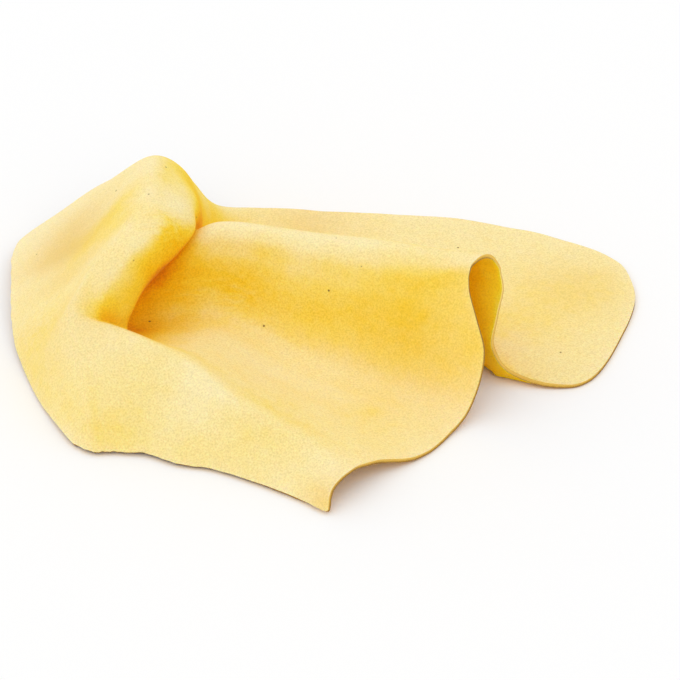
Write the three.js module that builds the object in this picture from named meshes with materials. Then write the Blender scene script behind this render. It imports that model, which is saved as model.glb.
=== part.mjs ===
// Chamois leather lying loosely folded on a table: one soft oil-tanned skin with no seam, hem or fitting.
// Millimetres. X runs to the right in the photograph, Y away from the viewer, Z up from the table at 0.
//
// The skin is a loft. Ten lines run across it from the front edge to the far edge, and every line passes
// the same features in the same order, so the surface between two lines needs no other guide.

import * as THREE from 'three';

// Driving sizes

const LYING_WIDTH = 320;      // plan of the skin as it lies
const LYING_DEPTH = 260;
const SKIN_THICKNESS = 2.0;
const PRESSED = 0.5;          // how deep the underside is cut flat where the skin lies

const MOUTH_HEIGHT = 61;      // standing ridge, crest at its open end
const RIDGE_RIGHT = 60.5;     // the same crest further in, falling to the left
const RIDGE_MIDDLE = 58;
const RIDGE_INNER = 56.5;
const RIDGE_END = 50;         // where it runs in under the roll

const HOLLOW_RIGHT = 3;       // floor of the hollow in front of the ridge, rising to the left
const HOLLOW_MIDDLE = 8;
const HOLLOW_INNER = 18;
const HOLLOW_END = 19;

const ROLL_HEIGHT = 71.5;     // rolled-over fold at the left
const ROLL_FAR_MOUTH = 40;    // the same roll where it ends in the far edge
const PINCH_HEIGHT = 38;      // point at which the roll and the front swell meet
const OUTER_HEIGHT = 40;      // outer slope of the roll, halfway to the left edge
const LEFT_LIFT = 6;          // left edge, off the table

const SWELL_LEFT = 36;        // broad front swell, falling to the right
const SWELL_INNER = 31;
const SWELL_MIDDLE = 25;
const SWELL_RIGHT = 14;
const SWELL_TIP = 12;
const LIP_LIFT = 6.5;         // lip of the far panel, beside the mouth

// Middle of the skin's thickness where it lies on the table
const LYING = SKIN_THICKNESS / 2 - PRESSED;

// How far along and how far up a slope, a wall or a back the points between its ends lie
const SLOPE_RUN = 0.5;
const SLOPE_RISE = 0.56;
const SWELL_BACK_RISE = 0.78;
const WALL_RUN = 0.55;
const WALL_RISE = 0.72;
const BROW_RUN = 0.74;
const BROW_RISE = 0.93;
const BACK_RUN = 0.5;
const BACK_RISE = 0.78;

// Features that every line passes, from front to far
const FEATURES = [
  'edge', 'slope', 'swell', 'swellBack', 'floor', 'foot', 'wallLow', 'wall',
  'brow', 'crest', 'nape', 'back', 'backLow', 'backFoot', 'panel', 'far',
];

// Mesh: cells between two features, and cells between two neighbouring lines
const CELLS_BETWEEN_FEATURES = [1, 2, 2, 2, 2, 2, 2, 2, 2, 2, 2, 2, 2, 2, 2];
const CELLS_BETWEEN_LINES = [3, 2, 2, 2, 2, 2, 2, 2, 2];

// A line across the skin. It names only the features that shape it, and the rest are read off its curve.
// A point is a feature, its place in hundredths of the lying width and depth, and its height.
function lineAcross(points) {
  const rows = points.map(([feature]) => FEATURES.indexOf(feature));
  const places = points.map(([, across, deep, height]) => (
    new THREE.Vector3((LYING_WIDTH * across) / 100, (LYING_DEPTH * deep) / 100, height)
  ));
  const curve = new THREE.CatmullRomCurve3(places);
  return (row) => {
    let span = 0;
    while (span < rows.length - 2 && row > rows[span + 1]) span += 1;
    const along = (row - rows[span]) / (rows[span + 1] - rows[span]);
    return curve.getPoint((span + along) / (rows.length - 1));
  };
}

// A point between two others: one share of the way in plan, another of the way in height
function between(name, [, x1, y1, z1], [, x2, y2, z2], run, rise) {
  return [name, x1 + (x2 - x1) * run, y1 + (y2 - y1) * run, z1 + (z2 - z1) * rise];
}

// A line over the front swell, the hollow, the standing ridge and the far panel
function lineOverRidge({ edge, swell, swellBack, floor, foot, crest, backFoot, far }) {
  const edgePoint = ['edge', ...edge];
  const swellPoint = ['swell', ...swell];
  const footPoint = ['foot', ...foot];
  const crestPoint = ['crest', ...crest];
  const backFootPoint = ['backFoot', ...backFoot];
  return lineAcross([
    edgePoint,
    between('slope', edgePoint, swellPoint, SLOPE_RUN, SLOPE_RISE),
    swellPoint,
    ['swellBack', ...swellBack],
    ['floor', ...floor],
    footPoint,
    between('wall', footPoint, crestPoint, WALL_RUN, WALL_RISE),
    between('brow', footPoint, crestPoint, BROW_RUN, BROW_RISE),
    crestPoint,
    between('back', backFootPoint, crestPoint, BACK_RUN, BACK_RISE),
    backFootPoint,
    ['far', ...far],
  ]);
}

// Right cut edge: from the front tip along the S-shaped edge, over the ridge's open mouth, and out along
// the lip of the far panel
const mouthEdge = lineAcross([
  ['edge', 51.8, 0.0, LYING],
  ['slope', 52.5, 2.7, SWELL_TIP * 0.75],
  ['swell', 54.7, 5.8, SWELL_TIP],
  ['swellBack', 58.7, 10.8, SWELL_TIP * 0.67],
  ['floor', 65.0, 15.4, HOLLOW_RIGHT * 0.5],
  ['foot', 71.8, 25.8, HOLLOW_RIGHT * 1.7],
  ['wallLow', 74.7, 31.9, MOUTH_HEIGHT * 0.49],
  ['wall', 72.5, 40.8, MOUTH_HEIGHT * 0.86],
  ['brow', 73.1, 43.1, MOUTH_HEIGHT],
  ['crest', 75.4, 46.5, MOUTH_HEIGHT * 0.99],
  ['nape', 77.4, 48.1, MOUTH_HEIGHT * 0.86],
  ['back', 78.0, 46.9, MOUTH_HEIGHT * 0.68],
  ['backLow', 76.6, 40.0, MOUTH_HEIGHT * 0.29],
  ['backFoot', 79.2, 38.5, LIP_LIFT],
  ['panel', 89.0, 36.9, LYING],
  ['far', 99.3, 56.6, LYING],
]);

const rightLine = lineOverRidge({
  edge: [45.6, 5.4, LYING],
  swell: [49.3, 13.1, SWELL_RIGHT],
  swellBack: [51.2, 17.9, SWELL_RIGHT * SWELL_BACK_RISE],
  floor: [57.2, 28.5, HOLLOW_RIGHT],
  foot: [63.1, 34.2, HOLLOW_RIGHT],
  crest: [62.8, 49.6, RIDGE_RIGHT],
  backFoot: [66.5, 60.4, LYING],
  far: [99.0, 78.8, LYING],
});

const middleLine = lineOverRidge({
  edge: [35.6, 11.9, LYING],
  swell: [37.5, 21.2, SWELL_MIDDLE],
  swellBack: [39.4, 27.2, SWELL_MIDDLE * SWELL_BACK_RISE],
  floor: [43.4, 37.8, HOLLOW_MIDDLE],
  foot: [47.2, 44.8, HOLLOW_MIDDLE],
  crest: [47.8, 55.5, RIDGE_MIDDLE],
  backFoot: [51.5, 66.5, LYING],
  far: [77.2, 94.6, LYING],
});

const innerLine = lineOverRidge({
  edge: [30.3, 13.5, LYING],
  swell: [30.9, 29.2, SWELL_INNER],
  swellBack: [31.6, 35.0, SWELL_INNER * SWELL_BACK_RISE],
  floor: [33.4, 43.2, HOLLOW_INNER],
  foot: [35.3, 52.3, HOLLOW_INNER],
  crest: [34.7, 59.6, RIDGE_INNER],
  backFoot: [38.4, 70.4, LYING],
  far: [53.4, 98.5, LYING],
});

// Bottom of the hollow under the roll
const throatLine = lineAcross([
  ['edge', 25.9, 16.2, LYING],
  ['slope', 25.3, 23.8, SWELL_LEFT * SLOPE_RISE],
  ['swell', 25.0, 33.1, SWELL_LEFT],
  ['swellBack', 23.6, 38.8, SWELL_LEFT * 0.7],
  ['floor', 22.0, 44.2, HOLLOW_END],
  ['foot', 22.2, 49.6, HOLLOW_END],
  ['crest', 30.0, 60.0, RIDGE_END],
  ['backFoot', 32.8, 75.0, RIDGE_END * 0.12],
  ['far', 40.0, 100.0, LYING],
]);

// Side of the roll that stands out over the hollow
const noseLine = lineAcross([
  ['edge', 21.5, 16.9, LYING],
  ['slope', 20.3, 24.6, PINCH_HEIGHT * 0.53],
  ['swell', 19.0, 37.7, PINCH_HEIGHT * 0.96],
  ['swellBack', 20.1, 40.6, PINCH_HEIGHT * 0.76],
  ['floor', 21.7, 42.7, ROLL_HEIGHT * 0.485],
  ['foot', 24.2, 47.0, ROLL_HEIGHT * 0.64],
  ['wallLow', 26.7, 50.7, ROLL_HEIGHT * 0.71],
  ['wall', 30.4, 54.4, ROLL_HEIGHT * 0.76],
  ['crest', 30.9, 60.2, ROLL_HEIGHT * 0.89],
  ['backLow', 31.0, 66.5, ROLL_HEIGHT * 0.855],
  ['backFoot', 30.3, 73.5, ROLL_HEIGHT * 0.73],
  ['far', 32.2, 98.1, ROLL_FAR_MOUTH * 0.15],
]);

// Shoulder of the roll, between its top and the side over the hollow
const shoulderLine = lineAcross([
  ['edge', 19.7, 16.9, LYING],
  ['slope', 18.2, 25.2, PINCH_HEIGHT * 0.53],
  ['swell', 16.0, 38.6, PINCH_HEIGHT * 0.99],
  ['swellBack', 17.2, 39.8, PINCH_HEIGHT * 0.965],
  ['floor', 18.3, 41.0, ROLL_HEIGHT * 0.62],
  ['foot', 21.8, 45.2, ROLL_HEIGHT * 0.82],
  ['wall', 27.1, 51.9, ROLL_HEIGHT * 0.96],
  ['crest', 26.7, 57.3, ROLL_HEIGHT],
  ['backFoot', 27.5, 74.2, ROLL_HEIGHT * 0.925],
  ['far', 28.1, 95.4, ROLL_FAR_MOUTH * 0.675],
]);

// Top of the roll, from the front edge through the pinch to the far edge
const rollLine = lineAcross([
  ['edge', 17.8, 16.9, LYING],
  ['slope', 15.9, 25.8, PINCH_HEIGHT * 0.53],
  ['swell', 13.6, 39.8, PINCH_HEIGHT],
  ['swellBack', 14.8, 42.6, ROLL_HEIGHT * 0.625],
  ['foot', 18.8, 47.7, ROLL_HEIGHT * 0.84],
  ['wall', 23.6, 54.8, ROLL_HEIGHT * 0.985],
  ['crest', 23.6, 60.4, ROLL_HEIGHT],
  ['backFoot', 24.3, 75.0, ROLL_HEIGHT * 0.98],
  ['far', 23.7, 92.7, ROLL_FAR_MOUTH],
]);

// Outer slope of the roll
const outerLine = lineAcross([
  ['edge', 15.3, 18.8, LYING],
  ['swell', 10.2, 36.2, OUTER_HEIGHT * 0.46],
  ['foot', 10.9, 46.0, OUTER_HEIGHT * 0.74],
  ['crest', 12.5, 59.6, OUTER_HEIGHT * 0.925],
  ['backLow', 13.7, 70.8, OUTER_HEIGHT * 0.99],
  ['backFoot', 14.7, 81.5, OUTER_HEIGHT],
  ['far', 13.7, 95.8, ROLL_FAR_MOUTH * 0.55],
]);

const leftEdge = lineAcross([
  ['edge', 13.1, 21.2, LYING],
  ['swell', 6.8, 38.1, LYING],
  ['foot', 2.8, 52.7, LEFT_LIFT * 0.6],
  ['crest', 1.2, 66.9, LEFT_LIFT],
  ['backFoot', 0.3, 84.2, LEFT_LIFT * 0.65],
  ['far', 6.5, 95.5, LYING],
]);

const lines = [
  mouthEdge, rightLine, middleLine, innerLine, throatLine, noseLine, shoulderLine, rollLine, outerLine,
  leftEdge,
];

// Places along a run of spans, as many steps to each span as its cells: [2, 1] gives 0, 0.5, 1, 2
function stepsAlong(cellsPerSpan) {
  const steps = [0];
  cellsPerSpan.forEach((cells, span) => {
    for (let k = 1; k <= cells; k += 1) steps.push(span + k / cells);
  });
  return steps;
}

// Middle surface of the skin, as rows of points from the right edge to the left edge
function middleSurface() {
  return stepsAlong(CELLS_BETWEEN_FEATURES).map((row) => {
    const rail = new THREE.CatmullRomCurve3(lines.map((line) => line(row)));
    return stepsAlong(CELLS_BETWEEN_LINES).map((column) => {
      const point = rail.getPoint(column / CELLS_BETWEEN_LINES.length);
      point.z = Math.max(point.z, LYING);
      return point;
    });
  });
}

// Upward normal at a point of the grid, from its neighbours
function normalAt(surface, i, j) {
  const lastRow = surface.length - 1;
  const lastColumn = surface[0].length - 1;
  const back = surface[Math.min(i + 1, lastRow)][j].clone().sub(surface[Math.max(i - 1, 0)][j]);
  const left = surface[i][Math.min(j + 1, lastColumn)].clone().sub(surface[i][Math.max(j - 1, 0)]);
  return back.cross(left).normalize();
}

// The skin as one closed body: the surface thickened to both sides and closed by its cut edge
function skinGeometry() {
  const surface = middleSurface();
  const rowCount = surface.length;
  const columnCount = surface[0].length;
  const upper = [];
  const under = [];
  for (let i = 0; i < rowCount; i += 1) {
    for (let j = 0; j < columnCount; j += 1) {
      const half = normalAt(surface, i, j).multiplyScalar(SKIN_THICKNESS / 2);
      const above = surface[i][j].clone().add(half);
      const below = surface[i][j].clone().sub(half);
      below.z = Math.max(below.z, 0);
      upper.push(above);
      under.push(below);
    }
  }
  const count = upper.length;
  const at = (i, j) => i * columnCount + j;
  const faces = [];
  for (let i = 0; i < rowCount - 1; i += 1) {
    for (let j = 0; j < columnCount - 1; j += 1) {
      const a = at(i, j);
      const b = at(i + 1, j);
      const c = at(i + 1, j + 1);
      const d = at(i, j + 1);
      const corners = upper[a].distanceTo(upper[c]) < upper[b].distanceTo(upper[d])
        ? [[a, b, c], [a, c, d]]
        : [[a, b, d], [b, c, d]];
      corners.forEach(([p, q, r]) => {
        faces.push(p, q, r);
        faces.push(p + count, r + count, q + count);
      });
    }
  }
  const rim = [];
  for (let i = 0; i < rowCount - 1; i += 1) rim.push(at(i, 0));
  for (let j = 0; j < columnCount - 1; j += 1) rim.push(at(rowCount - 1, j));
  for (let i = rowCount - 1; i > 0; i -= 1) rim.push(at(i, columnCount - 1));
  for (let j = columnCount - 1; j > 0; j -= 1) rim.push(at(0, j));
  rim.forEach((p, k) => {
    const q = rim[(k + 1) % rim.length];
    faces.push(q, p, p + count);
    faces.push(q, p + count, q + count);
  });
  const geometry = new THREE.BufferGeometry().setFromPoints([...upper, ...under]);
  geometry.setIndex(faces);
  return geometry;
}

// Stand it on the table with the middle of its box at the origin
const skin = skinGeometry();
skin.computeBoundingBox();
const box = skin.boundingBox;
skin.translate(-(box.min.x + box.max.x) / 2, -(box.min.y + box.max.y) / 2, -box.min.z);
skin.computeVertexNormals();

const leather = new THREE.MeshStandardMaterial({ color: 0xf0d68a, roughness: 0.95, metalness: 0 });
const chamoisSkin = new THREE.Mesh(skin, leather);
chamoisSkin.name = 'chamois_skin';

const group = new THREE.Group();
group.name = 'chamois_leather';
group.add(chamoisSkin);

export default group;
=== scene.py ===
# %% [markdown]
# # A chamois leather, lying as it was dropped
# A chamois is one soft skin, tanned with oil and buffed to a nap on both sides, with a raw cut edge all
# round. It has no seam and no hem, so everything that shows is in three things: how the skin lies, how
# thick its edge is, and how its colour changes from the open faces to the depth of the folds. The lesson
# makes those in turn, starting from the plain solid that the frame holds in the skin's place.

import math

import bpy
import numpy as np
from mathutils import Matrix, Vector, noise
from mathutils.bvhtree import BVHTree


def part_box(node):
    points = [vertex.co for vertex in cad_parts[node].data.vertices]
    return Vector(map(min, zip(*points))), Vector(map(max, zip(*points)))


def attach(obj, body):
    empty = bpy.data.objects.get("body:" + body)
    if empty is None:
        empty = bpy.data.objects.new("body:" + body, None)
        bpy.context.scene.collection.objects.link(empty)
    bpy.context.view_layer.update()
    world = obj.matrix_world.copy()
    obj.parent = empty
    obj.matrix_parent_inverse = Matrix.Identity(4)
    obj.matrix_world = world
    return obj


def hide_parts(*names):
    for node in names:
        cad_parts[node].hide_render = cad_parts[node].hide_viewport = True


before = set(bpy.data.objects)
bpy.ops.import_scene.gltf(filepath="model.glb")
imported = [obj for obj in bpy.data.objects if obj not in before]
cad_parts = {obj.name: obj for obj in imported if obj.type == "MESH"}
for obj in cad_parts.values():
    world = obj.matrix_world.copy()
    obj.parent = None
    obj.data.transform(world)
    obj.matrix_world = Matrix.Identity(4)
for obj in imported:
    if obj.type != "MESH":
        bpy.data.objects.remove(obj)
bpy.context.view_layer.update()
low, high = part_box("chamois_skin")
MM = 0.001
print("skin as it lies, mm:", [round(side / MM, 1) for side in high - low])

# %% [markdown]
# ## Where the folds run
# On the table the skin makes five forms: a broad swell along the front edge, a hollow behind it, a
# standing ridge that ends in an open mouth at the right, a flat panel behind the ridge, and a roll that
# leans over the hollow at the left. A cloth simulation could drop a sheet into some heap of folds, but
# not into these, so the skin is lofted. Ten lines are laid across it from the front edge to the far
# edge, each passing the same features in the same order, and the surface is drawn through them. In plan,
# a place on a line is written as a share of the frame's box, so the skin keeps to the size of the part.
# Its height is in millimetres.

# %% Features and places
FEATURES = [
    "edge", "slope", "swell", "swell_back", "floor", "foot", "wall_low", "wall",
    "brow", "crest", "nape", "back", "back_low", "back_foot", "panel", "far",
]
LAST_ROW = len(FEATURES) - 1
LYING = 1.0          # millimetres from the table to the middle of the skin, where it lies flat


def place(across, deep, height):
    """A point: hundredths of the lying skin's width and depth, and millimetres above the table."""
    size = high - low
    return (low.x + size.x * across / 100, low.y + size.y * deep / 100, height * MM)


print("features from front to far:", len(FEATURES))

# %% [markdown]
# ## A line that bends like leather
# Leather bends in smooth curves without a kink, so each line is a curve through its points. Blender's
# own curve objects could be drawn by hand, but every line has to be read at the same features, and they
# don't know those. This curve is a Catmull-Rom one, worked out with arrays. It is the centripetal kind,
# which doesn't loop where two points lie close together, as they do at a tight fold. The same function
# later joins whole lines.

# %% Smooth lines
TINY = 1e-12        # stands in for a length or an area of zero in a division


def smooth_curve(points, t):
    """Catmull-Rom curve through points, read at t from 0 to 1. The points may be whole lines."""
    spans = len(points) - 1
    s = np.clip(np.asarray(t) * spans, 0, spans)
    i = np.minimum(s.astype(int), spans - 1)
    w = (s - i).reshape((-1,) + (1,) * (points.ndim - 1))
    before = 2 * points[0] - points[1]
    after = 2 * points[-1] - points[-2]
    all_points = np.concatenate([[before], points, [after]])
    p0, p1, p2, p3 = (all_points[i + k] for k in range(4))

    def knot(a, b):
        """Root of the distance, which is what makes the curve centripetal."""
        return np.maximum(np.linalg.norm(b - a, axis=-1, keepdims=True), TINY) ** 0.5

    d0, d1, d2 = knot(p0, p1), knot(p1, p2), knot(p2, p3)
    leave = ((p1 - p0) / d0 - (p2 - p0) / (d0 + d1) + (p2 - p1) / d1) * d1
    arrive = ((p2 - p1) / d1 - (p3 - p1) / (d1 + d2) + (p3 - p2) / d2) * d1
    bend = -3 * p1 + 3 * p2 - 2 * leave - arrive
    return p1 + leave * w + bend * w**2 + (2 * p1 - 2 * p2 + leave + arrive) * w**3


def line_across(**points):
    """A line over the skin that names only the features that shape it."""
    keys = [FEATURES.index(name) for name in points]
    places = np.array([place(*point) for point in points.values()])

    def at_rows(rows):
        along = np.interp(rows, keys, np.arange(len(keys)))
        return smooth_curve(places, along / (len(keys) - 1))

    return at_rows


bow = smooth_curve(np.array([[0.0, 0.0], [1.0, 1.0], [2.0, 0.0]]), np.array([0.25]))
print("a curve up to 1 and down again, a quarter of the way along:", bow.round(3).tolist())

# %% [markdown]
# ## The right cut edge
# The first line is the cut edge itself, and it shows from end to end. It draws the pointed front tip,
# the S-shaped edge of the hollow, the round mouth in which the ridge ends, and the lip of the panel, so
# it gets a point at every feature.

# %% Line along the mouth
mouth_edge = line_across(
    edge=(51.8, 0.0, LYING),
    slope=(52.5, 2.7, 9),
    swell=(54.7, 5.8, 12),
    swell_back=(58.7, 10.8, 8),
    floor=(65.0, 15.4, 1.5),
    foot=(71.8, 25.8, 5),
    wall_low=(74.7, 31.9, 29.7),
    wall=(72.5, 40.8, 52.4),
    brow=(73.1, 43.1, 61),
    crest=(75.4, 46.5, 60.5),
    nape=(77.4, 48.1, 52.2),
    back=(78.0, 46.9, 41.2),
    back_low=(76.6, 40.0, 17.8),
    back_foot=(79.2, 38.5, 6.5),
    panel=(89.0, 36.9, LYING),
    far=(100.6, 55.0, LYING),
)
mouth_points = mouth_edge(np.linspace(0, LAST_ROW, 200))
print("mouth stands, mm:", round(mouth_points[:, 2].max() / MM, 1))

# %% [markdown]
# ## Lines over the ridge
# Three lines go over the swell, down into the hollow, up the ridge and out over the panel. They are
# alike, so a function fills in the points between the named ones: the wall leans back as it rises, then
# the brow turns over to the crest. The swell grows and the hollow's floor rises from each line to the
# next one on its left.

# %% Lines over the ridge
# Shares of the way between two named points, in plan and in height.
SLOPE_AT = (0.50, 0.56)
WALL_AT = (0.55, 0.72)
BROW_AT = (0.74, 0.93)
BACK_AT = (0.50, 0.78)


def between(a, b, run, rise):
    """A point part of the way from a to b, one share in plan and another in height."""
    return (a[0] + (b[0] - a[0]) * run, a[1] + (b[1] - a[1]) * run, a[2] + (b[2] - a[2]) * rise)


def line_over_ridge(edge, swell, swell_back, floor, foot, crest, back_foot, far):
    """A line over the swell, the hollow, the ridge and the panel."""
    return line_across(
        edge=edge,
        slope=between(edge, swell, *SLOPE_AT),
        swell=swell,
        swell_back=swell_back,
        floor=floor,
        foot=foot,
        wall=between(foot, crest, *WALL_AT),
        brow=between(foot, crest, *BROW_AT),
        crest=crest,
        back=between(back_foot, crest, *BACK_AT),
        back_foot=back_foot,
        far=far,
    )


right_line = line_over_ridge(
    edge=(45.6, 5.4, LYING),
    swell=(49.3, 13.1, 14),
    swell_back=(51.2, 17.9, 10.6),
    floor=(57.2, 28.5, 2),
    foot=(63.1, 34.2, 4),
    crest=(62.8, 49.6, 60.5),
    back_foot=(66.5, 60.4, LYING),
    far=(99.0, 78.8, LYING),
)
middle_line = line_over_ridge(
    edge=(35.6, 11.9, LYING),
    swell=(37.5, 21.2, 25),
    swell_back=(39.4, 27.2, 19.5),
    floor=(43.4, 37.8, 7.5),
    foot=(47.2, 44.8, 8.5),
    crest=(47.8, 55.5, 58),
    back_foot=(51.5, 66.5, LYING),
    far=(77.2, 94.6, LYING),
)
inner_line = line_over_ridge(
    edge=(30.3, 13.5, LYING),
    swell=(30.9, 29.2, 30.2),
    swell_back=(31.6, 35.0, 24.6),
    floor=(33.4, 43.2, 18.8),
    foot=(35.3, 52.3, 17.5),
    crest=(34.7, 59.6, 56.5),
    back_foot=(38.4, 70.4, LYING),
    far=(53.4, 98.5, LYING),
)
crest_row = [FEATURES.index("crest")]
crests = [line(crest_row)[0, 2] / MM for line in (right_line, middle_line, inner_line)]
print("crest from right to left, mm:", [round(float(height), 1) for height in crests])

# %% [markdown]
# ## Lines under the roll
# At the left the skin is rolled over towards the hollow. The throat line runs along the bottom, where
# the hollow goes in under the roll, and the nose line follows the side that stands out over it. Both run
# from the front edge over the swell and through a pinch behind it, where they lie close together.

# %% Lines under the roll
throat_line = line_across(
    edge=(25.9, 16.2, LYING),
    slope=(25.3, 23.8, 19),
    swell=(25.0, 33.1, 34.6),
    swell_back=(23.6, 38.8, 24),
    floor=(20.8, 44.4, 19),
    foot=(20.8, 49.8, 19),
    crest=(30.0, 60.0, 50),
    back_foot=(32.8, 75.0, 6),
    far=(40.0, 100.0, LYING),
)
nose_line = line_across(
    edge=(21.5, 16.9, LYING),
    slope=(20.3, 24.6, 20),
    swell=(19.0, 37.7, 35.4),
    swell_back=(20.1, 40.6, 28),
    floor=(21.7, 42.7, 34.8),
    foot=(24.2, 47.0, 45.6),
    wall_low=(26.7, 50.7, 50.6),
    wall=(29.4, 54.0, 54.6),
    brow=(31.0, 57.0, 58.5),
    crest=(30.8, 60.3, 63.5),
    back_low=(31.0, 66.5, 61),
    back_foot=(30.3, 73.5, 52),
    far=(32.2, 98.1, 6),
)
stands_out = (nose_line(crest_row) - throat_line(crest_row))[0] / MM
print("nose above the throat at the crest, mm:", round(float(stands_out[2]), 1))

# %% [markdown]
# ## Lines over the roll
# The shoulder line is the turn above the nose, and the roll line is the top. They come out of the same
# pinch and spread out behind it, and both are still off the table at the far edge, where the roll is
# open.

# %% Lines over the roll
shoulder_line = line_across(
    edge=(19.7, 16.9, LYING),
    slope=(18.2, 25.2, 20.2),
    swell=(16.0, 38.6, 36.9),
    swell_back=(17.2, 39.8, 36.6),
    floor=(18.3, 41.0, 44.2),
    foot=(21.8, 45.2, 58.4),
    wall=(27.1, 51.9, 68.5),
    crest=(26.7, 57.3, 71.6),
    back_foot=(27.5, 74.2, 66),
    far=(28.1, 95.4, 27),
)
roll_line = line_across(
    edge=(17.8, 16.9, LYING),
    slope=(15.9, 25.8, 20.2),
    swell=(13.6, 39.8, 37.8),
    swell_back=(14.8, 42.6, 44.6),
    foot=(18.8, 47.7, 60.2),
    wall=(23.6, 54.8, 70.3),
    crest=(23.6, 60.4, 71.5),
    back_foot=(24.3, 75.0, 70),
    far=(23.7, 92.7, 40),
)
overhang = (nose_line(crest_row) - roll_line(crest_row))[0, 0] / MM
print("roll stands out to the right of its top, mm:", round(float(overhang), 1))

# %% [markdown]
# ## The outer slope and the left edge
# From the top of the roll the skin falls away to the left. A soft valley runs along the foot of the roll
# there, which the outer line makes by dipping a little, and the left edge is just off the table.

# %% Lines at the left
outer_line = line_across(
    edge=(15.3, 18.8, LYING),
    swell=(10.2, 36.2, 18.5),
    foot=(10.9, 46.0, 29.5),
    crest=(12.5, 59.6, 37),
    back_low=(13.7, 70.8, 39.5),
    back_foot=(14.7, 81.5, 40),
    far=(13.7, 95.8, 22),
)
left_edge = line_across(
    edge=(13.1, 21.2, LYING),
    swell=(6.8, 38.1, LYING),
    foot=(2.8, 52.7, 3.5),
    crest=(1.2, 66.9, 6),
    back_foot=(0.3, 84.2, 4),
    far=(5.3, 96.5, LYING),
)
LINES = [
    mouth_edge, right_line, middle_line, inner_line, throat_line,
    nose_line, shoulder_line, roll_line, outer_line, left_edge,
]
print("lines from right to left:", len(LINES))

# %% [markdown]
# ## From lines to a surface
# Blender's Bridge Edge Loops joins one line to the next, but each bridge knows only its own two lines,
# so a kink stays at every line. Here the curve function is used a second time, with whole lines for
# points, so the surface is smooth both ways. It is drawn three times finer than needed, because the next
# steps read it at places between its points.

# %% Loft the skin
CELLS_ALONG = 228
CELLS_ACROSS = 204
FINER = 3


def loft(rows, columns):
    """The surface through all the lines: rows in features, columns from 0 to 1."""
    sections = np.stack([line(rows) for line in LINES])
    return smooth_curve(sections, columns)


fine_rows = np.linspace(0, LAST_ROW, CELLS_ALONG * FINER + 1)
drawn = loft(fine_rows, np.linspace(0, 1, CELLS_ACROSS * FINER + 1))
drawn[..., 2] = np.maximum(drawn[..., 2], LYING * MM)
print("drawn:", drawn.shape[:2], "points, highest, mm:", round(drawn[..., 2].max() / MM, 1))

# %% [markdown]
# ## Rounded corners
# A loft has four corners, and a trimmed skin has rounded ones. A boolean cut would leave long thin
# faces, so the grid is instead pulled in at each corner until its border follows a quarter of a circle.
# Only the front tip stays nearly pointed.

# %% Round the corners
# At the first or the last line, at the front or the far end, and the radius as a share of the grid.
CORNERS = {"tip": (0, 0, 0.010), "left": (1, 0, 0.09), "right": (0, 1, 0.055), "far_left": (1, 1, 0.12)}


def round_corner(across, along, end_across, end_along, radius):
    """Pulls the corner of a square in to a quarter circle."""
    a = 1 - np.abs(across - end_across) / radius
    b = 1 - np.abs(along - end_along) / radius
    inside = (a > 0) & (b > 0)
    shrink = np.where(inside, np.maximum(a, b) / np.maximum(np.hypot(a, b), TINY), 1)
    moved_across = end_across + (1 - a * shrink) * radius * (1 if end_across == 0 else -1)
    moved_along = end_along + (1 - b * shrink) * radius * (1 if end_along == 0 else -1)
    return np.where(inside, moved_across, across), np.where(inside, moved_along, along)


columns = np.linspace(0, 1, CELLS_ACROSS + 1)
rows = np.linspace(0, 1, CELLS_ALONG + 1)
across, along = np.meshgrid(columns, rows, indexing="ij")
for end_across, end_along, radius in CORNERS.values():
    across, along = round_corner(across, along, end_across, end_along, radius)
print("corners rounded:", list(CORNERS))

# %% [markdown]
# ## A cut made by hand
# A skin is trimmed with shears, so its edge wavers by a millimetre or so. Smooth noise along each border
# pulls the grid in by that much, and the pull fades out towards the inside, so that nothing is bunched
# up.

# %% Waver the cut
WAVER = 0.0030        # depth of the wavering cut, as a share of the surface
WAVES = 34            # how often it wavers along an edge
WAVER_REACH = 0.05    # how far in from an edge it is felt, as a share too
WAVER_SEEDS = {"front": 1.3, "far": 5.7, "right": 9.1, "left": 13.9}


def waver(along_edge, side):
    """Smooth noise from 0 to 1 along one edge."""
    seed = WAVER_SEEDS[side]
    return np.array([0.5 + 0.5 * noise.noise(Vector((t * WAVES, seed, 0.5))) for t in along_edge])


def near_edge(distance):
    """1 at the edge, fading to 0 at the end of the reach."""
    return np.clip(1 - distance / WAVER_REACH, 0, 1) ** 2


def read_at(grid, across, along):
    """The surface at any place, across and along from 0 to 1."""
    x = np.clip(across, 0, 1) * (grid.shape[0] - 1)
    y = np.clip(along, 0, 1) * (grid.shape[1] - 1)
    i = np.minimum(x.astype(int), grid.shape[0] - 2)
    j = np.minimum(y.astype(int), grid.shape[1] - 2)
    a = (x - i)[..., None]
    b = (y - j)[..., None]
    near = grid[i, j] * (1 - b) + grid[i, j + 1] * b
    far = grid[i + 1, j] * (1 - b) + grid[i + 1, j + 1] * b
    return near * (1 - a) + far * a


front_pull = waver(columns, "front")[:, None] * near_edge(along)
far_pull = waver(columns, "far")[:, None] * near_edge(1 - along)
right_pull = waver(rows, "right")[None] * near_edge(across)
left_pull = waver(rows, "left")[None] * near_edge(1 - across)
skin = read_at(drawn, across + (right_pull - left_pull) * WAVER, along + (front_pull - far_pull) * WAVER)
print("skin:", skin.shape[:2], "points")

# %% [markdown]
# ## The lip of the panel
# Where the back of the ridge comes down at the mouth, the cut edge turns from standing to lying. The
# skin just behind it is already on the table, so the edge itself is left curling up, and its underside
# shows. The curl is made by pressing the skin down from a few millimetres behind the edge.

# %% Curl the lip
LIP_ROWS = [12.2, 12.8, 13.6, 14.4]     # in features: begins, is full, is full still, ends
LIP_FALL = (0.5 * MM, 4.0 * MM)         # from the edge: where the skin goes down to the table
LIP_END = (14 * MM, 34 * MM)            # and where it goes back to its own height


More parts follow.
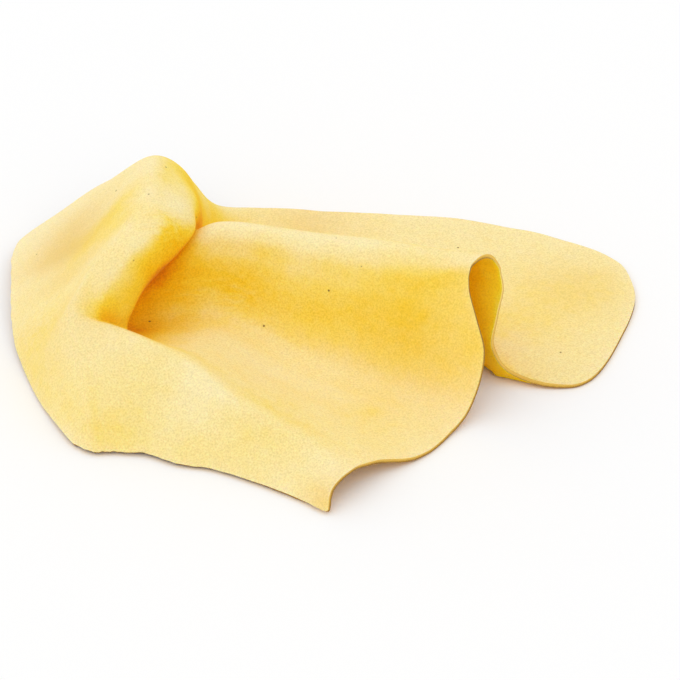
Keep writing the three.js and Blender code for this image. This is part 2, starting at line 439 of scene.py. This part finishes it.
def ramp(x, start, end):
    """Rises smoothly from 0 to 1 between start and end."""
    t = np.clip((x - start) / (end - start), 0, 1)
    return t * t * (3 - 2 * t)


steps = np.linalg.norm(np.diff(skin, axis=0), axis=-1)
from_mouth = np.concatenate([np.zeros((1, skin.shape[1])), np.cumsum(steps, axis=0)])
on_lip = np.interp(along * LAST_ROW, LIP_ROWS, [0, 1, 1, 0])
pressed = on_lip * (ramp(from_mouth, *LIP_FALL) - ramp(from_mouth, *LIP_END))
skin[..., 2] = skin[..., 2] * (1 - pressed) + LYING * MM * pressed
print("lip stands, mm:", round((skin[0, :, 2] * (on_lip[0] > 0.9)).max() / MM, 1))

# %% [markdown]
# ## Soft unevenness
# A hide is never even: the back is firmer than the belly, and a skin that has been wrung and dried keeps
# soft dents. A Displace modifier with a cloud texture could make them. Noise read at each point in space
# and pushed along the normal does the same without a texture, in two sizes, and stops at the table.

# %% Dent the skin
DENTS = [(34 * MM, 0.55 * MM), (13 * MM, 0.18 * MM)]     # size and depth


def normals_of(grid):
    """Direction out of the upper face at each point."""
    up = np.cross(np.gradient(grid, axis=1), np.gradient(grid, axis=0))
    # At a rounded corner both borders run the same way, so the normal is that of the next point in.
    for i, inner_i in ((0, 1), (-1, -2)):
        for j, inner_j in ((0, 1), (-1, -2)):
            up[i, j] = up[inner_i, inner_j]
    return up / np.maximum(np.linalg.norm(up, axis=-1, keepdims=True), TINY)


def noise_over(grid, size):
    """Smooth noise at each point, its bumps about a given size."""
    flat = [noise.noise(Vector(point) / size) for point in grid.reshape(-1, 3)]
    return np.array(flat).reshape(grid.shape[:2])


push = sum(noise_over(skin, size) * depth for size, depth in DENTS)
skin = skin + normals_of(skin) * push[..., None]
skin[..., 2] = np.maximum(skin[..., 2], LYING * MM)
print("dents, mm:", round(push.min() / MM, 2), "to", round(push.max() / MM, 2))

# %% [markdown]
# ## No fold tighter than the leather
# A skin can't be bent sharper than its own thickness lets it, because its inner face would have to pass
# through itself. On the inner side of a bend every face of the grid gets smaller, so the share of its
# area that is left there tells how tight the bend is. Where too little is left, the points are drawn
# towards the middle of their neighbours, a little at a time. A Smooth modifier does the same, but over
# the whole skin, dents and all.

# %% Ease the tight folds
THICKNESS = 2.0 * MM
TIGHT = (0.0, 0.2)          # share of a face that is left inside a bend: eased fully, and not at all
EASE = 0.5                  # part of the way that a point goes in one round
EASE_ROUNDS = 40
EASE_REACHES = (3, 2, 1)    # steps of the grid, coarse rounds first


def face_areas(grid):
    """Area of each face of the grid, as a vector along its normal."""
    return np.cross(grid[1:, 1:] - grid[:-1, :-1], grid[:-1, 1:] - grid[1:, :-1]) / 2


def left_inside(grid):
    """Share of each face that is left on the inner side of its bend."""
    half = normals_of(grid) * THICKNESS / 2
    flat = face_areas(grid)
    inner = np.minimum((face_areas(grid + half) * flat).sum(-1), (face_areas(grid - half) * flat).sum(-1))
    return inner / (flat**2).sum(-1)


def eased(grid, reach):
    """The grid with its tight folds drawn part of the way to the points a few steps off on each side."""
    size = np.array(grid.shape[:2]) - 2 * reach
    tight = np.pad(1 - ramp(left_inside(grid), *TIGHT), reach)
    # A point is eased when a face up to reach steps beyond its own four is tight.
    steps_off = range(reach - 1, 3 * reach + 1)
    tight = np.max([tight[step:step + size[0]] for step in steps_off], axis=0)
    tight = np.max([tight[:, step:step + size[1]] for step in steps_off], axis=0)
    inner = slice(reach, -reach)
    beside_across = grid[:-2 * reach, inner] + grid[2 * reach:, inner]
    beside_along = grid[inner, :-2 * reach] + grid[inner, 2 * reach:]
    middle = (beside_across + beside_along) / 4
    moved = grid.copy()
    moved[inner, inner] += (middle - grid[inner, inner]) * tight[..., None] * EASE
    return moved


before = skin
for reach in EASE_REACHES:
    for _ in range(EASE_ROUNDS):
        skin = eased(skin, reach)
moved_by = np.linalg.norm(skin - before, axis=-1)
print("turned faces:", int((left_inside(before) < 0).sum()), "then", int((left_inside(skin) < 0).sum()))
print("moved at most, mm:", round(moved_by.max() / MM, 2))
print("points moved by over 0.1 mm:", int((moved_by > 0.1 * MM).sum()))

# %% [markdown]
# ## The border of the sheet
# The skin is still a sheet without thickness. To close it, the points of its border are needed in order,
# once round, and at each of them the way out of the skin, which lies across the border and across the
# normal.

# %% Border of the sheet


def ring_of(rows_count, columns_count):
    """Indices of the grid's border, once round."""
    at = np.arange(rows_count * columns_count).reshape(rows_count, columns_count)
    return np.concatenate([at[:-1, 0], at[-1, :-1], at[:0:-1, -1], at[0, :0:-1]])


def rim_outward(points, up):
    """Direction out of the skin, in its own plane, at each point of the border."""
    along_rim = np.roll(points, -1, axis=0) - np.roll(points, 1, axis=0)
    out = np.cross(along_rim, up)
    return out / np.maximum(np.linalg.norm(out, axis=1, keepdims=True), TINY)


border = ring_of(*skin.shape[:2])
border_line = skin.reshape(-1, 3)[border]
border_steps = np.linalg.norm(np.roll(border_line, -1, axis=0) - border_line, axis=1)
print("cut edge once round, mm:", round(float(border_steps.sum()) / MM))

# %% [markdown]
# ## Thickness and the cut edge
# The Solidify modifier could thicken the sheet, but it leaves a square edge, and a cut skin has a
# slightly rounded one. So both faces are offset from the middle here, and the rim is closed with five
# narrow bands that bulge outwards. The rim's faces come last in the mesh, so that they can be given a
# leather of their own.

# %% Close the skin
# Half thicknesses above the middle, and millimetres of bulge.
RIM_PROFILE = [(0.80, 0.28), (0.40, 0.42), (-0.40, 0.42), (-0.80, 0.28)]


def quads_of(rows_count, columns_count):
    """The grid's faces, as four indices each."""
    at = np.arange(rows_count * columns_count).reshape(rows_count, columns_count)
    return np.stack([at[:-1, :-1], at[:-1, 1:], at[1:, 1:], at[1:, :-1]], -1).reshape(-1, 4)


def close_skin(grid):
    """Vertices, faces and the number of faces that aren't rim."""
    up = normals_of(grid)
    count = grid.shape[0] * grid.shape[1]
    top = quads_of(*grid.shape[:2])
    middle = grid.reshape(-1, 3)[border]
    up_there = up.reshape(-1, 3)[border]
    out = rim_outward(middle, up_there)
    points = [(grid + up * THICKNESS / 2).reshape(-1, 3), (grid - up * THICKNESS / 2).reshape(-1, 3)]
    bands = [border]
    for share, bulge in RIM_PROFILE:
        start = 2 * count + (len(bands) - 1) * len(border)
        points.append(middle + up_there * THICKNESS / 2 * share + out * bulge * MM)
        bands.append(np.arange(start, start + len(border)))
    bands.append(border + count)
    rim = [np.stack([a, b, np.roll(b, -1), np.roll(a, -1)], -1) for a, b in zip(bands[:-1], bands[1:])]
    vertices = np.concatenate(points)
    vertices[:, 2] = np.maximum(vertices[:, 2], 0)
    return vertices, np.concatenate([top, top[:, ::-1] + count] + rim), len(top) * 2


vertices, faces, rim_start = close_skin(skin)
mesh = bpy.data.meshes.new("chamois_skin_soft")
mesh.from_pydata(vertices.tolist(), [], faces.tolist())
mesh.polygons.foreach_set("use_smooth", np.ones(len(mesh.polygons), bool))
chamois = bpy.data.objects.new("chamois_skin_soft", mesh)
bpy.context.scene.collection.objects.link(chamois)
print("closed skin:", len(mesh.vertices), "vertices,", len(mesh.polygons), "faces")

# %% [markdown]
# ## How much light reaches each place
# The amber in the depth of a fold is painted shade: the share of the light from above that reaches each
# place is painted into the tone of the nap. Blender has an ambient occlusion node, but it counts every
# direction alike. So rays are cast from each place towards the sky, closer together towards the upper
# left, where most of the light comes from. The share that gets through belongs to the skin, not to the
# camera, so it holds in any view.

# %% Cast rays towards the sky
RAYS = 40
REACH = 250 * MM        # a fold further off than this takes no light away
ABOVE = Vector((-0.40, -0.04, 0.90)).normalized()
OPEN_SHARE = 2 / 3      # what an open face turned to ABOVE gets from a ray, on average


def sky_directions(count):
    """Directions over the sky, closer together towards ABOVE."""
    k = np.arange(count) + 0.5
    radius = np.sqrt(k / count)
    turn = k * math.pi * (3 - math.sqrt(5))
    local = np.stack([radius * np.cos(turn), radius * np.sin(turn), np.sqrt(1 - radius**2)], -1)
    return local @ np.array(ABOVE.to_track_quat("Z", "Y").to_matrix()).T


def light_on(grid, up, tree):
    """Share of the light from above that reaches each point of a face."""
    directions = sky_directions(RAYS)
    facing = up @ directions.T
    light = np.zeros(grid.shape[:2])
    rays = [Vector(direction) for direction in directions]
    for i, j in np.ndindex(light.shape):
        start = Vector(grid[i, j] + up[i, j] * THICKNESS)
        for k in np.nonzero(facing[i, j] > 0)[0]:
            if tree.ray_cast(start, rays[k], REACH)[0] is None:
                light[i, j] += facing[i, j, k]
    return light / (RAYS * OPEN_SHARE)


print("rays from each point:", len(sky_directions(RAYS)))

# %% [markdown]
# ## Light on both faces
# Light changes slowly over a soft skin, so rays leave only from every second point of the grid, and the
# values between are read off in proportion. That takes a quarter of the time.

# %% Light on both faces
EVERY = 2
coarse = skin[::EVERY, ::EVERY]
coarse_up = normals_of(skin)[::EVERY, ::EVERY]
tree = BVHTree.FromPolygons(coarse.reshape(-1, 3).tolist(), quads_of(*coarse.shape[:2]).tolist())


def to_fine(values):
    """Values of the coarse grid, read at every point of the fine one."""
    places = np.meshgrid(columns, rows, indexing="ij")
    return read_at(values[..., None], *places)[..., 0]


upper_light = to_fine(light_on(coarse, coarse_up, tree))
under_light = to_fine(light_on(coarse, -coarse_up, tree))
print("light on the upper face:", round(upper_light.min(), 2), "to", round(upper_light.max(), 2))

# %% [markdown]
# ## Patches of painted light and shade
# Most patches are painted light and shade, which make a place paler or deeper than the cast rays alone;
# a few mark a stain, dull tan and creases. Painting weights by hand would do, but couldn't be repeated,
# so each patch is a soft round spot. It has a place on the skin as a share of the way across and along
# it, a radius in millimetres, and a change of tone that is added to the light. A fold brings two parts of
# the skin close together, so a spot fades out along the lines before it would show through on the other
# side.

# %% Soft spots
SAME_SIDE = 0.08        # shares of the way along the skin: a spot is whole up to here
OTHER_SIDE = 0.20       # and gone from here on


def spots_over(grid, spots):
    """Soft round spots over the skin, added up."""
    total = np.zeros(grid.shape[:2])
    for across, along, radius, change in spots.values():
        centre = grid[int(across * CELLS_ACROSS), int(along * CELLS_ALONG)]
        spot = np.exp(-(np.linalg.norm(grid - centre, axis=-1) / (radius * MM)) ** 2)
        total += change * spot * (1 - ramp(np.abs(rows - along), SAME_SIDE, OTHER_SIDE))
    return total


one_spot = spots_over(skin, {"middle": (0.5, 0.5, 20, 1.0)})
print("a spot of 20 mm covers this share of the points:", round((one_spot > math.exp(-1)).mean(), 3))

# %% [markdown]
# ## Painted shade in the folds
# Painted shade deepens the tone in the valley left of the roll, along its top, beside it and at the
# pinch, and on the wall that leads to the mouth. Several small spots in a row follow a fold better than
# one large one. One spot is a stain in the hollow.

# %% Painted shade
# Spots of painted shade, and one stain in the hollow.
PAINTED_SHADE_AND_STAIN = {
    "left of the roll": (0.915, 0.770, 22, -0.16),
    "valley, high": (0.841, 0.665, 9, -0.07),
    "valley, middle": (0.858, 0.650, 9, -0.07),
    "valley, low": (0.870, 0.619, 10, -0.07),
    "valley, foot": (0.884, 0.585, 11, -0.08),
    "left slope": (0.860, 0.600, 46, -0.16),
    "left foot": (0.915, 0.360, 34, -0.14),
    "left front": (0.940, 0.200, 22, -0.10),
    "top of the roll": (0.800, 0.640, 22, -0.20),
    "front of the roll": (0.740, 0.420, 24, -0.16),
    "pinch": (0.675, 0.222, 7, -0.16),
    "behind the pinch": (0.404, 0.272, 8, -0.08),
    "beside the roll, high": (0.500, 0.430, 8, -0.14),
    "wall by the mouth": (0.085, 0.445, 34, -0.17),
    "edge of the mouth": (0.006, 0.450, 12, -0.10),
    "edge of the mouth, low": (0.006, 0.410, 10, -0.12),
    "front of the tip": (0.120, 0.130, 14, -0.05),
    "front edge, left": (0.600, 0.010, 14, -0.06),
    "panel, near": (0.080, 0.945, 28, -0.14),
    "panel, far": (0.096, 0.970, 24, -0.13),
    "tip": (0.015, 0.030, 14, -0.12),
    "stain in the hollow": (0.112, 0.272, 6, -0.14),
}
upper_light += spots_over(skin, PAINTED_SHADE_AND_STAIN)
print("deeper patches:", len(PAINTED_SHADE_AND_STAIN))

# %% [markdown]
# ## Painted light
# The brow of the ridge, the top of the swell and the side of the roll are painted paler than the cast
# light alone would make them, and so is the floor of the hollow. At the foot of the mouth the light that
# comes through the thin skin from outside is painted onto the under face as a spot of its own.

# %% Painted light
# Spots of painted light.
PAINTED_LIGHT_SPOTS = {
    "brow of the ridge": (0.224, 0.520, 12, 0.16),
    "crest": (0.168, 0.568, 12, 0.08),
    "floor of the hollow": (0.182, 0.265, 24, 0.14),
    "top of the swell": (0.270, 0.100, 15, 0.12),
    "floor by the roll": (0.400, 0.335, 12, 0.10),
    "side of the roll, foot": (0.600, 0.238, 9, 0.12),
    "side of the roll, low": (0.562, 0.275, 7, 0.12),
    "side of the roll, middle": (0.560, 0.324, 8, 0.12),
    "side of the roll, high": (0.569, 0.400, 10, 0.14),
    "end of the roll": (0.605, 0.485, 14, 0.14),
    "shoulder of the roll, low": (0.650, 0.312, 9, 0.22),
    "shoulder of the roll, high": (0.655, 0.388, 11, 0.28),
    "far end of the roll": (0.616, 0.649, 20, 0.24),
    "end of the roll, top": (0.585, 0.567, 14, 0.16),
    "back of the roll": (0.535, 0.914, 16, 0.30),
    "behind the roll": (0.490, 0.955, 18, 0.16),
    "brow by the roll": (0.345, 0.508, 10, 0.20),
    "brow further right": (0.300, 0.505, 11, 0.20),
    "foot of the wall by the roll": (0.356, 0.372, 12, 0.10),
    "inner floor": (0.290, 0.278, 20, 0.22),
    "hollow behind the swell": (0.240, 0.250, 24, 0.14),
    "panel by the mouth": (0.048, 0.899, 13, 0.24),
}
# Painted light on the under face, for light that comes through the skin.
PAINTED_LIGHT_THROUGH_SKIN = {"foot of the mouth": (0.008, 0.818, 9, 0.28)}
upper_light += spots_over(skin, PAINTED_LIGHT_SPOTS)
under_light += spots_over(skin, PAINTED_LIGHT_THROUGH_SKIN)
print("paler patches:", len(PAINTED_LIGHT_SPOTS), "lit through:", len(PAINTED_LIGHT_THROUGH_SKIN))

# %% [markdown]
# ## Wear, tan and creases
# A chamois is pulled and wrung by its edges, so the nap is rubbed pale along the whole cut. In places the
# skin is a dull tan, which in the valley left of the roll is painted shade, and where it is folded again
# and again it keeps fine creases. The first goes into the tone, and the other two are kept as values of
# their own, for the leather to read.

# %% Wear
RUBBED = 0.07                   # change of tone at the cut
RUBBED_REACH = 2.5 * MM
# Dull tan patches; the one left of the roll is painted shade in the valley.
TAN_AND_SHADE_SPOTS = {
    "left of the roll": (0.912, 0.742, 30, 0.50),
    "left slope, far": (0.888, 0.560, 34, 0.22),
    "left slope, near": (0.860, 0.220, 40, 0.12),
    "wall by the mouth": (0.080, 0.400, 42, 0.18),
    "tip": (0.015, 0.030, 12, 0.26),
    "panel": (0.096, 0.965, 26, 0.20),
    "behind the ridge": (0.350, 0.974, 26, 0.30),
}
CREASED = {
    "end of the roll": (0.655, 0.475, 13, 1.0),
    "wall by the roll": (0.316, 0.386, 11, 0.8),
    "foot of the wall": (0.380, 0.400, 12, 0.7),
    "left foot": (0.930, 0.330, 20, 0.6),
}


def from_border(grid):
    """Distance along the skin to the nearest cut edge."""
    ways = []
    for axis in (0, 1):
        lengths = np.linalg.norm(np.diff(grid, axis=axis), axis=-1)
        start = np.zeros_like(np.take(lengths, [0], axis=axis))
        run = np.concatenate([start, np.cumsum(lengths, axis=axis)], axis=axis)
        ways += [run, np.take(run, [-1], axis=axis) - run]
    return np.minimum.reduce(ways)


upper_light += RUBBED * np.exp(-from_border(skin) / RUBBED_REACH)
tan_and_shade = spots_over(skin, TAN_AND_SHADE_SPOTS)
creased = spots_over(skin, CREASED)
print("handled at most:", round(tan_and_shade.max(), 2), "creased at most:", round(creased.max(), 2))

# %% [markdown]
# ## Values on the mesh
# A mesh attribute carries a number for each vertex into the shader. Down the rim the light's place is
# taken by the height within the cut, 1 at the upper face and 0 at the under face, which the leather of
# the cut reads as painted shade towards its lower edge.

# %% Keep the values


def keep_on_mesh(name, upper, under):
    """Values of both faces, and of the rim between them, as an attribute of the mesh."""
    rim = [np.full(len(border), (share + 1) / 2) for share, _ in RIM_PROFILE]
    values = np.concatenate([upper.reshape(-1), under.reshape(-1)] + rim)
    mesh.attributes.new(name, "FLOAT", "POINT").data.foreach_set("value", values.astype(np.float32))


keep_on_mesh("light_from_above", upper_light, under_light)
keep_on_mesh("tan_and_shade", tan_and_shade, tan_and_shade * 0)
keep_on_mesh("creased", creased, creased * 0)
print("kept on the mesh:", [a.name for a in mesh.attributes if a.data_type == "FLOAT"])

# %% [markdown]
# ## Colours and nodes
# A material is a small network of nodes. These helpers take a colour as it is seen and turn it into the
# linear values that a shader needs, add a node with its settings, fetch a value that was kept on the
# mesh, and run a value through a list of tones.

# %% Colours and nodes


def srgb(red, green, blue):
    """A colour as it is seen, 0 to 255, in the linear values that a shader takes."""
    def linear(value):
        value /= 255
        return value / 12.92 if value <= 0.04045 else ((value + 0.055) / 1.055) ** 2.4
    return (linear(red), linear(green), linear(blue), 1.0)


def new_node(tree, kind, inputs, **settings):
    """A node with its settings, and its inputs either linked or set."""
    node = tree.nodes.new(kind)
    for name, value in settings.items():
        setattr(node, name, value)
    for socket, value in inputs.items():
        if isinstance(value, bpy.types.NodeSocket):
            tree.links.new(value, node.inputs[socket])
        else:
            node.inputs[socket].default_value = value
    return node


def value_on(tree, name):
    """A value that is kept on the mesh."""
    return new_node(tree, "ShaderNodeAttribute", {}, attribute_name=name).outputs["Fac"]


def tones_of(tree, value, tones):
    """A colour for each value, through the given tones."""
    node = new_node(tree, "ShaderNodeValToRGB", {"Fac": value})
    stops = node.color_ramp.elements
    stops.remove(stops[1])
    stops[0].position = tones[0][0]
    stops[0].color = srgb(*tones[0][1])
    for position, colour in tones[1:]:
        stops.new(position).color = srgb(*colour)
    return node.outputs["Color"]


print("pale chamois in linear values:", [round(value, 3) for value in srgb(253, 233, 174)])

# %% [markdown]
# ## Clouds, pores and creases
# The grain of a chamois comes in three sizes: the mottle of the hide, the clumps of the nap, and single
# tufts. Noise makes all three. A few pores and thorn scars are dark specks, for which the cells of a
# Voronoi texture serve: a speck is what lies within about half a millimetre of a cell's centre, and few
# centres are that near to the surface. Creases are noise that is stretched from left to right, and it
# fades out away from the folds.

# %% Marks in the nap
PORE_SPACING = 17                   # millimetres
PORE_RADIUS = 0.55
PORE_FADE = (0.6, 1.3)              # shares of the radius between which a pore fades out
CREASE_WAVES = (70, 520, 420)       # in a metre, along each axis


def cloud_of(tree, where, size, detail):
    """Noise about one half, its clouds a given number of millimetres across."""
    inputs = {"Vector": where, "Scale": 1 / (size * MM), "Detail": detail}
    return new_node(tree, "ShaderNodeTexNoise", inputs).outputs["Fac"]


def sway(tree, value, cloud, amount):
    """A value moved up and down by a cloud of noise."""
    off = new_node(tree, "ShaderNodeMath", {0: cloud, 1: 0.5}, operation="SUBTRACT").outputs[0]
    inputs = {0: off, 1: amount, 2: value}
    return new_node(tree, "ShaderNodeMath", inputs, operation="MULTIPLY_ADD").outputs[0]


def pores(tree, where):
    """1 in the few pores that show, 0 elsewhere."""
    cells = new_node(tree, "ShaderNodeTexVoronoi", {"Vector": where, "Scale": 1 / (PORE_SPACING * MM)})
    edge = {"Value": cells.outputs["Distance"], "To Min": 1.0, "To Max": 0.0}
    edge["From Min"], edge["From Max"] = (PORE_RADIUS / PORE_SPACING * share for share in PORE_FADE)
    return new_node(tree, "ShaderNodeMapRange", edge).outputs["Result"]


def creases(tree, where):
    """Streaks about one half, long from left to right, where the skin has often been folded."""
    stretch = {0: where, 1: CREASE_WAVES}
    long_way = new_node(tree, "ShaderNodeVectorMath", stretch, operation="MULTIPLY").outputs[0]
    noise_inputs = {"Vector": long_way, "Scale": 1.0, "Detail": 2.0}
    streaks = new_node(tree, "ShaderNodeTexNoise", noise_inputs).outputs["Fac"]
    return sway(tree, 0.5, streaks, value_on(tree, "creased"))


print("pores, mm: cells of about", PORE_SPACING, "and specks of at most about", PORE_RADIUS * 2)

# %% [markdown]
# ## The nap
# Both faces are buffed to a nap. The kept light is painted into its tone, from pale straw in the open to
# amber as painted shade in the folds, and the three clouds and the creases move it up and down. The tufts
# also shade each other, stand up as a bump and scatter the little gloss there is, so one function links
# them all.

# %% Nap
# Millimetres across a cloud of noise, and the layers of finer noise in it.
MOTTLE = (38, 2.0)
CLUMPS = (5, 3.0)
TUFTS = (0.85, 1.0)
TONE_MOVES = (0.22, 0.16, 0.12, 0.45)       # by mottle, clumps, tufts and creases
NAP_CONTRAST = 0.42
NAP_HEIGHT = 0.25 * MM
NAP_ROUGHNESS = (0.84, 1.0)
CREASE_RELIEF = 2.0                         # times that of the tufts
# Dull tan, also used as painted shade in the valley left of the roll.
TAN_AND_SHADE_COLOUR = srgb(226, 182, 98)
SPECK = srgb(128, 92, 44)


def mixed(tree, share, colour, other):
    """A colour with a share of another in it."""
    return new_node(tree, "ShaderNodeMix", {0: share, 6: colour, 7: other}, data_type="RGBA").outputs[2]


def nap(tree, tones):
    """Gives the shader the colour, with painted light and shade, relief and roughness of buffed leather.
    """
    where = new_node(tree, "ShaderNodeTexCoord", {}).outputs["Object"]
    mottle, clumps, tufts = (cloud_of(tree, where, *cloud) for cloud in (MOTTLE, CLUMPS, TUFTS))
    folds = creases(tree, where)
    # The painted light and shade of each place.
    tone = value_on(tree, "light_from_above")
    for cloud, amount in zip((mottle, clumps, tufts, folds), TONE_MOVES):
        tone = sway(tree, tone, cloud, amount)
    shade = {0: tones_of(tree, tone, tones), "Scale": sway(tree, 1.0, tufts, NAP_CONTRAST)}
    colour = new_node(tree, "ShaderNodeVectorMath", shade, operation="SCALE").outputs[0]
    # Dull tan, in the valley left of the roll as painted shade.
    colour = mixed(tree, value_on(tree, "tan_and_shade"), colour, TAN_AND_SHADE_COLOUR)
    colour = mixed(tree, pores(tree, where), colour, SPECK)
    height = sway(tree, tufts, folds, CREASE_RELIEF)
    bump = {"Height": height, "Strength": 0.6, "Distance": NAP_HEIGHT}
    rough = {"Value": clumps, "To Min": NAP_ROUGHNESS[0], "To Max": NAP_ROUGHNESS[1]}
    shader = tree.nodes["Principled BSDF"]
    tree.links.new(colour, shader.inputs["Base Color"])
    tree.links.new(new_node(tree, "ShaderNodeBump", bump).outputs["Normal"], shader.inputs["Normal"])
    roughness = new_node(tree, "ShaderNodeMapRange", rough).outputs["Result"]
    tree.links.new(roughness, shader.inputs["Roughness"])


print("tan of handled leather in linear values:", [round(value, 3) for value in TAN_AND_SHADE_COLOUR])

# %% [markdown]
# ## Leather of the two faces
# A nap has no gloss, only a faint bloom where it is seen edge on, which the sheen gives. Light goes a
# little way into the leather and comes out yellower, which is subsurface scattering. On the under side,
# which shows mainly inside the mouth and at the open end of the roll, more light goes through, because
# there it comes from the other side of the thin skin.

# %% Leather of the two faces
# Tones from the painted shade of the deepest folds at 0 to the open light at 1.
UPPER_TONES = [
    (0.00, (222, 131, 4)), (0.10, (239, 159, 4)), (0.25, (249, 194, 18)), (0.42, (252, 211, 56)),
    (0.58, (253, 221, 106)), (0.75, (253, 226, 148)), (1.00, (253, 233, 178)),
]
UNDER_TONES = [(0.00, (251, 184, 8)), (0.40, (252, 206, 48)), (1.00, (253, 231, 160))]


def leather(name, tones, through, reach):
    """Napped leather: its tones, how much light goes into it, and how far, in millimetres."""
    material = bpy.data.materials.new(name)
    material.use_nodes = True
    nap(material.node_tree, tones)
    shader = material.node_tree.nodes["Principled BSDF"]
    shader.inputs["Specular IOR Level"].default_value = 0.06
    shader.inputs["Sheen Weight"].default_value = 0.06
    shader.inputs["Sheen Roughness"].default_value = 0.5
    shader.inputs["Sheen Tint"].default_value = srgb(255, 240, 200)
    shader.inputs["Subsurface Weight"].default_value = through
    shader.inputs["Subsurface Radius"].default_value = (1.0, 0.62, 0.2)
    shader.inputs["Subsurface Scale"].default_value = reach * MM
    return material


mesh.materials.append(leather("chamois_nap", UPPER_TONES, through=0.35, reach=2))
mesh.materials.append(leather("chamois_flesh_side", UNDER_TONES, through=1.0, reach=9))
print("leathers:", [material.name for material in mesh.materials])

# %% [markdown]
# ## Leather of the cut
# The shears go through the nap to the middle of the skin, where the fibres are packed closer. The cut is
# therefore a smoother and browner band than the faces, with fine fibres in it. Painted shade darkens it
# along its lower edge.

# %% Leather of the cut
# From painted shade at the lower edge of the cut to its upper edge.
CUT_TONES = [(0.10, (168, 128, 60)), (0.35, (226, 182, 80)), (0.90, (248, 208, 104))]
FIBRES = (0.6, 3.0)             # millimetres across, and layers of finer noise
FIBRE_HEIGHT = 0.15 * MM
FIBRE_CONTRAST = 0.6


def cut_leather(name):
    """The raw cut through the skin."""
    material = bpy.data.materials.new(name)
    material.use_nodes = True
    tree = material.node_tree
    where = new_node(tree, "ShaderNodeTexCoord", {}).outputs["Object"]
    # Height within the cut, painted as shade towards its lower edge.
    down = value_on(tree, "light_from_above")
    fibres = cloud_of(tree, where, *FIBRES)
    bump = {"Height": fibres, "Strength": 0.5, "Distance": FIBRE_HEIGHT}
    shader = tree.nodes["Principled BSDF"]
    colour = tones_of(tree, sway(tree, down, fibres, FIBRE_CONTRAST), CUT_TONES)
    tree.links.new(colour, shader.inputs["Base Color"])
    tree.links.new(new_node(tree, "ShaderNodeBump", bump).outputs["Normal"], shader.inputs["Normal"])
    shader.inputs["Roughness"].default_value = 0.85
    shader.inputs["Specular IOR Level"].default_value = 0.2
    return material


mesh.materials.append(cut_leather("chamois_cut_edge"))
sides = np.zeros(len(mesh.polygons), np.int32)
sides[rim_start // 2:rim_start] = 1
sides[rim_start:] = 2
mesh.polygons.foreach_set("material_index", sides)
print("faces of the cut:", int((sides == 2).sum()))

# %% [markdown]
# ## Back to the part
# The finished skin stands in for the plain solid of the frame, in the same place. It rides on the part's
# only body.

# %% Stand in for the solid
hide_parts("chamois_skin")
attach(chamois, "root")

# %% [markdown]
# ## Table
# The skin lies on a plain white table that keeps its soft shadow. The table is much larger than the
# view, so its far side is never seen, and it is a hair below the skin, so that the two faces don't
# flicker.

# %% Table
TABLE = 6.0             # metres along each side
BELOW = 0.2 * MM
half = TABLE / 2
corners = [(-half, -half, -BELOW), (half, -half, -BELOW), (half, half, -BELOW), (-half, half, -BELOW)]
table_mesh = bpy.data.meshes.new("table")
table_mesh.from_pydata(corners, [], [(0, 1, 2, 3)])
table = bpy.data.objects.new("table", table_mesh)
bpy.context.scene.collection.objects.link(table)
white = bpy.data.materials.new("white_table")
white.use_nodes = True
paint = white.node_tree.nodes["Principled BSDF"]
paint.inputs["Base Color"].default_value = (0.985, 0.985, 0.985, 1)
paint.inputs["Roughness"].default_value = 1.0
paint.inputs["Specular IOR Level"].default_value = 0.0
table_mesh.materials.append(white)
print("table, metres:", TABLE)

# %% [markdown]
# ## Light
# A pale room lights the skin from everywhere, and one very soft lamp from the upper left gives the folds
# their direction. The room has two strengths: one for the light that falls on things, and plain white
# where it is seen directly, in a reflection or through something clear.

# %% Light
ROOM = 0.88
LAMP = 0.45
LAMP_SPREAD = math.radians(70)
LAMP_WAY = Vector((0.34, 0.05, -0.87))
world = bpy.data.worlds.new("pale_room")
bpy.context.scene.world = world
world.use_nodes = True
room = world.node_tree
path = new_node(room, "ShaderNodeLightPath", {})
seen = {0: path.outputs["Is Camera Ray"], 1: path.outputs["Is Glossy Ray"]}
seen_first = new_node(room, "ShaderNodeMath", seen, operation="ADD").outputs[0]
seen_through = {0: seen_first, 1: path.outputs["Is Transmission Ray"]}
seen_at_all = new_node(room, "ShaderNodeMath", seen_through, operation="ADD", use_clamp=True).outputs[0]
strength = {"Value": seen_at_all, "To Min": ROOM, "To Max": 1.0}
background = room.nodes["Background"]
background.inputs["Color"].default_value = (1, 1, 1, 1)
room_strength = new_node(room, "ShaderNodeMapRange", strength).outputs["Result"]
room.links.new(room_strength, background.inputs["Strength"])
lamp = bpy.data.lights.new("soft_lamp", "SUN")
lamp.energy = LAMP
lamp.angle = LAMP_SPREAD
lamp_object = bpy.data.objects.new("soft_lamp", lamp)
bpy.context.scene.collection.objects.link(lamp_object)
lamp_object.rotation_euler = LAMP_WAY.to_track_quat("-Z", "Y").to_euler()
print("room and lamp:", ROOM, LAMP)

# %% [markdown]
# ## Camera
# The skin is seen from the front, from a little above, and from far enough that its sides hardly draw
# together. The lens follows from the distance and from how many millimetres of the skin one pixel shows.

# %% Camera
ELEVATION = math.radians(35)
DISTANCE = 1.1              # metres
AIM = (53.4, 52.7, 0)       # a place on the table, near the middle of the skin
IMAGE = 680                 # pixels along each side
MM_PER_PIXEL = 0.5
SENSOR = 36                 # millimetres
camera_data = bpy.data.cameras.new("camera")
camera_data.sensor_width = SENSOR
camera_data.lens = DISTANCE / (MM_PER_PIXEL * MM) / IMAGE * SENSOR
camera = bpy.data.objects.new("camera", camera_data)
bpy.context.scene.collection.objects.link(camera)
aim = Vector(place(*AIM))
towards_camera = Vector((0, -math.cos(ELEVATION), math.sin(ELEVATION)))
camera.location = aim + towards_camera * DISTANCE
camera.rotation_euler = (-towards_camera).to_track_quat("-Z", "Y").to_euler()
bpy.context.scene.camera = camera
bpy.context.scene.view_settings.view_transform = "Standard"
print("lens, mm:", round(camera_data.lens, 1))
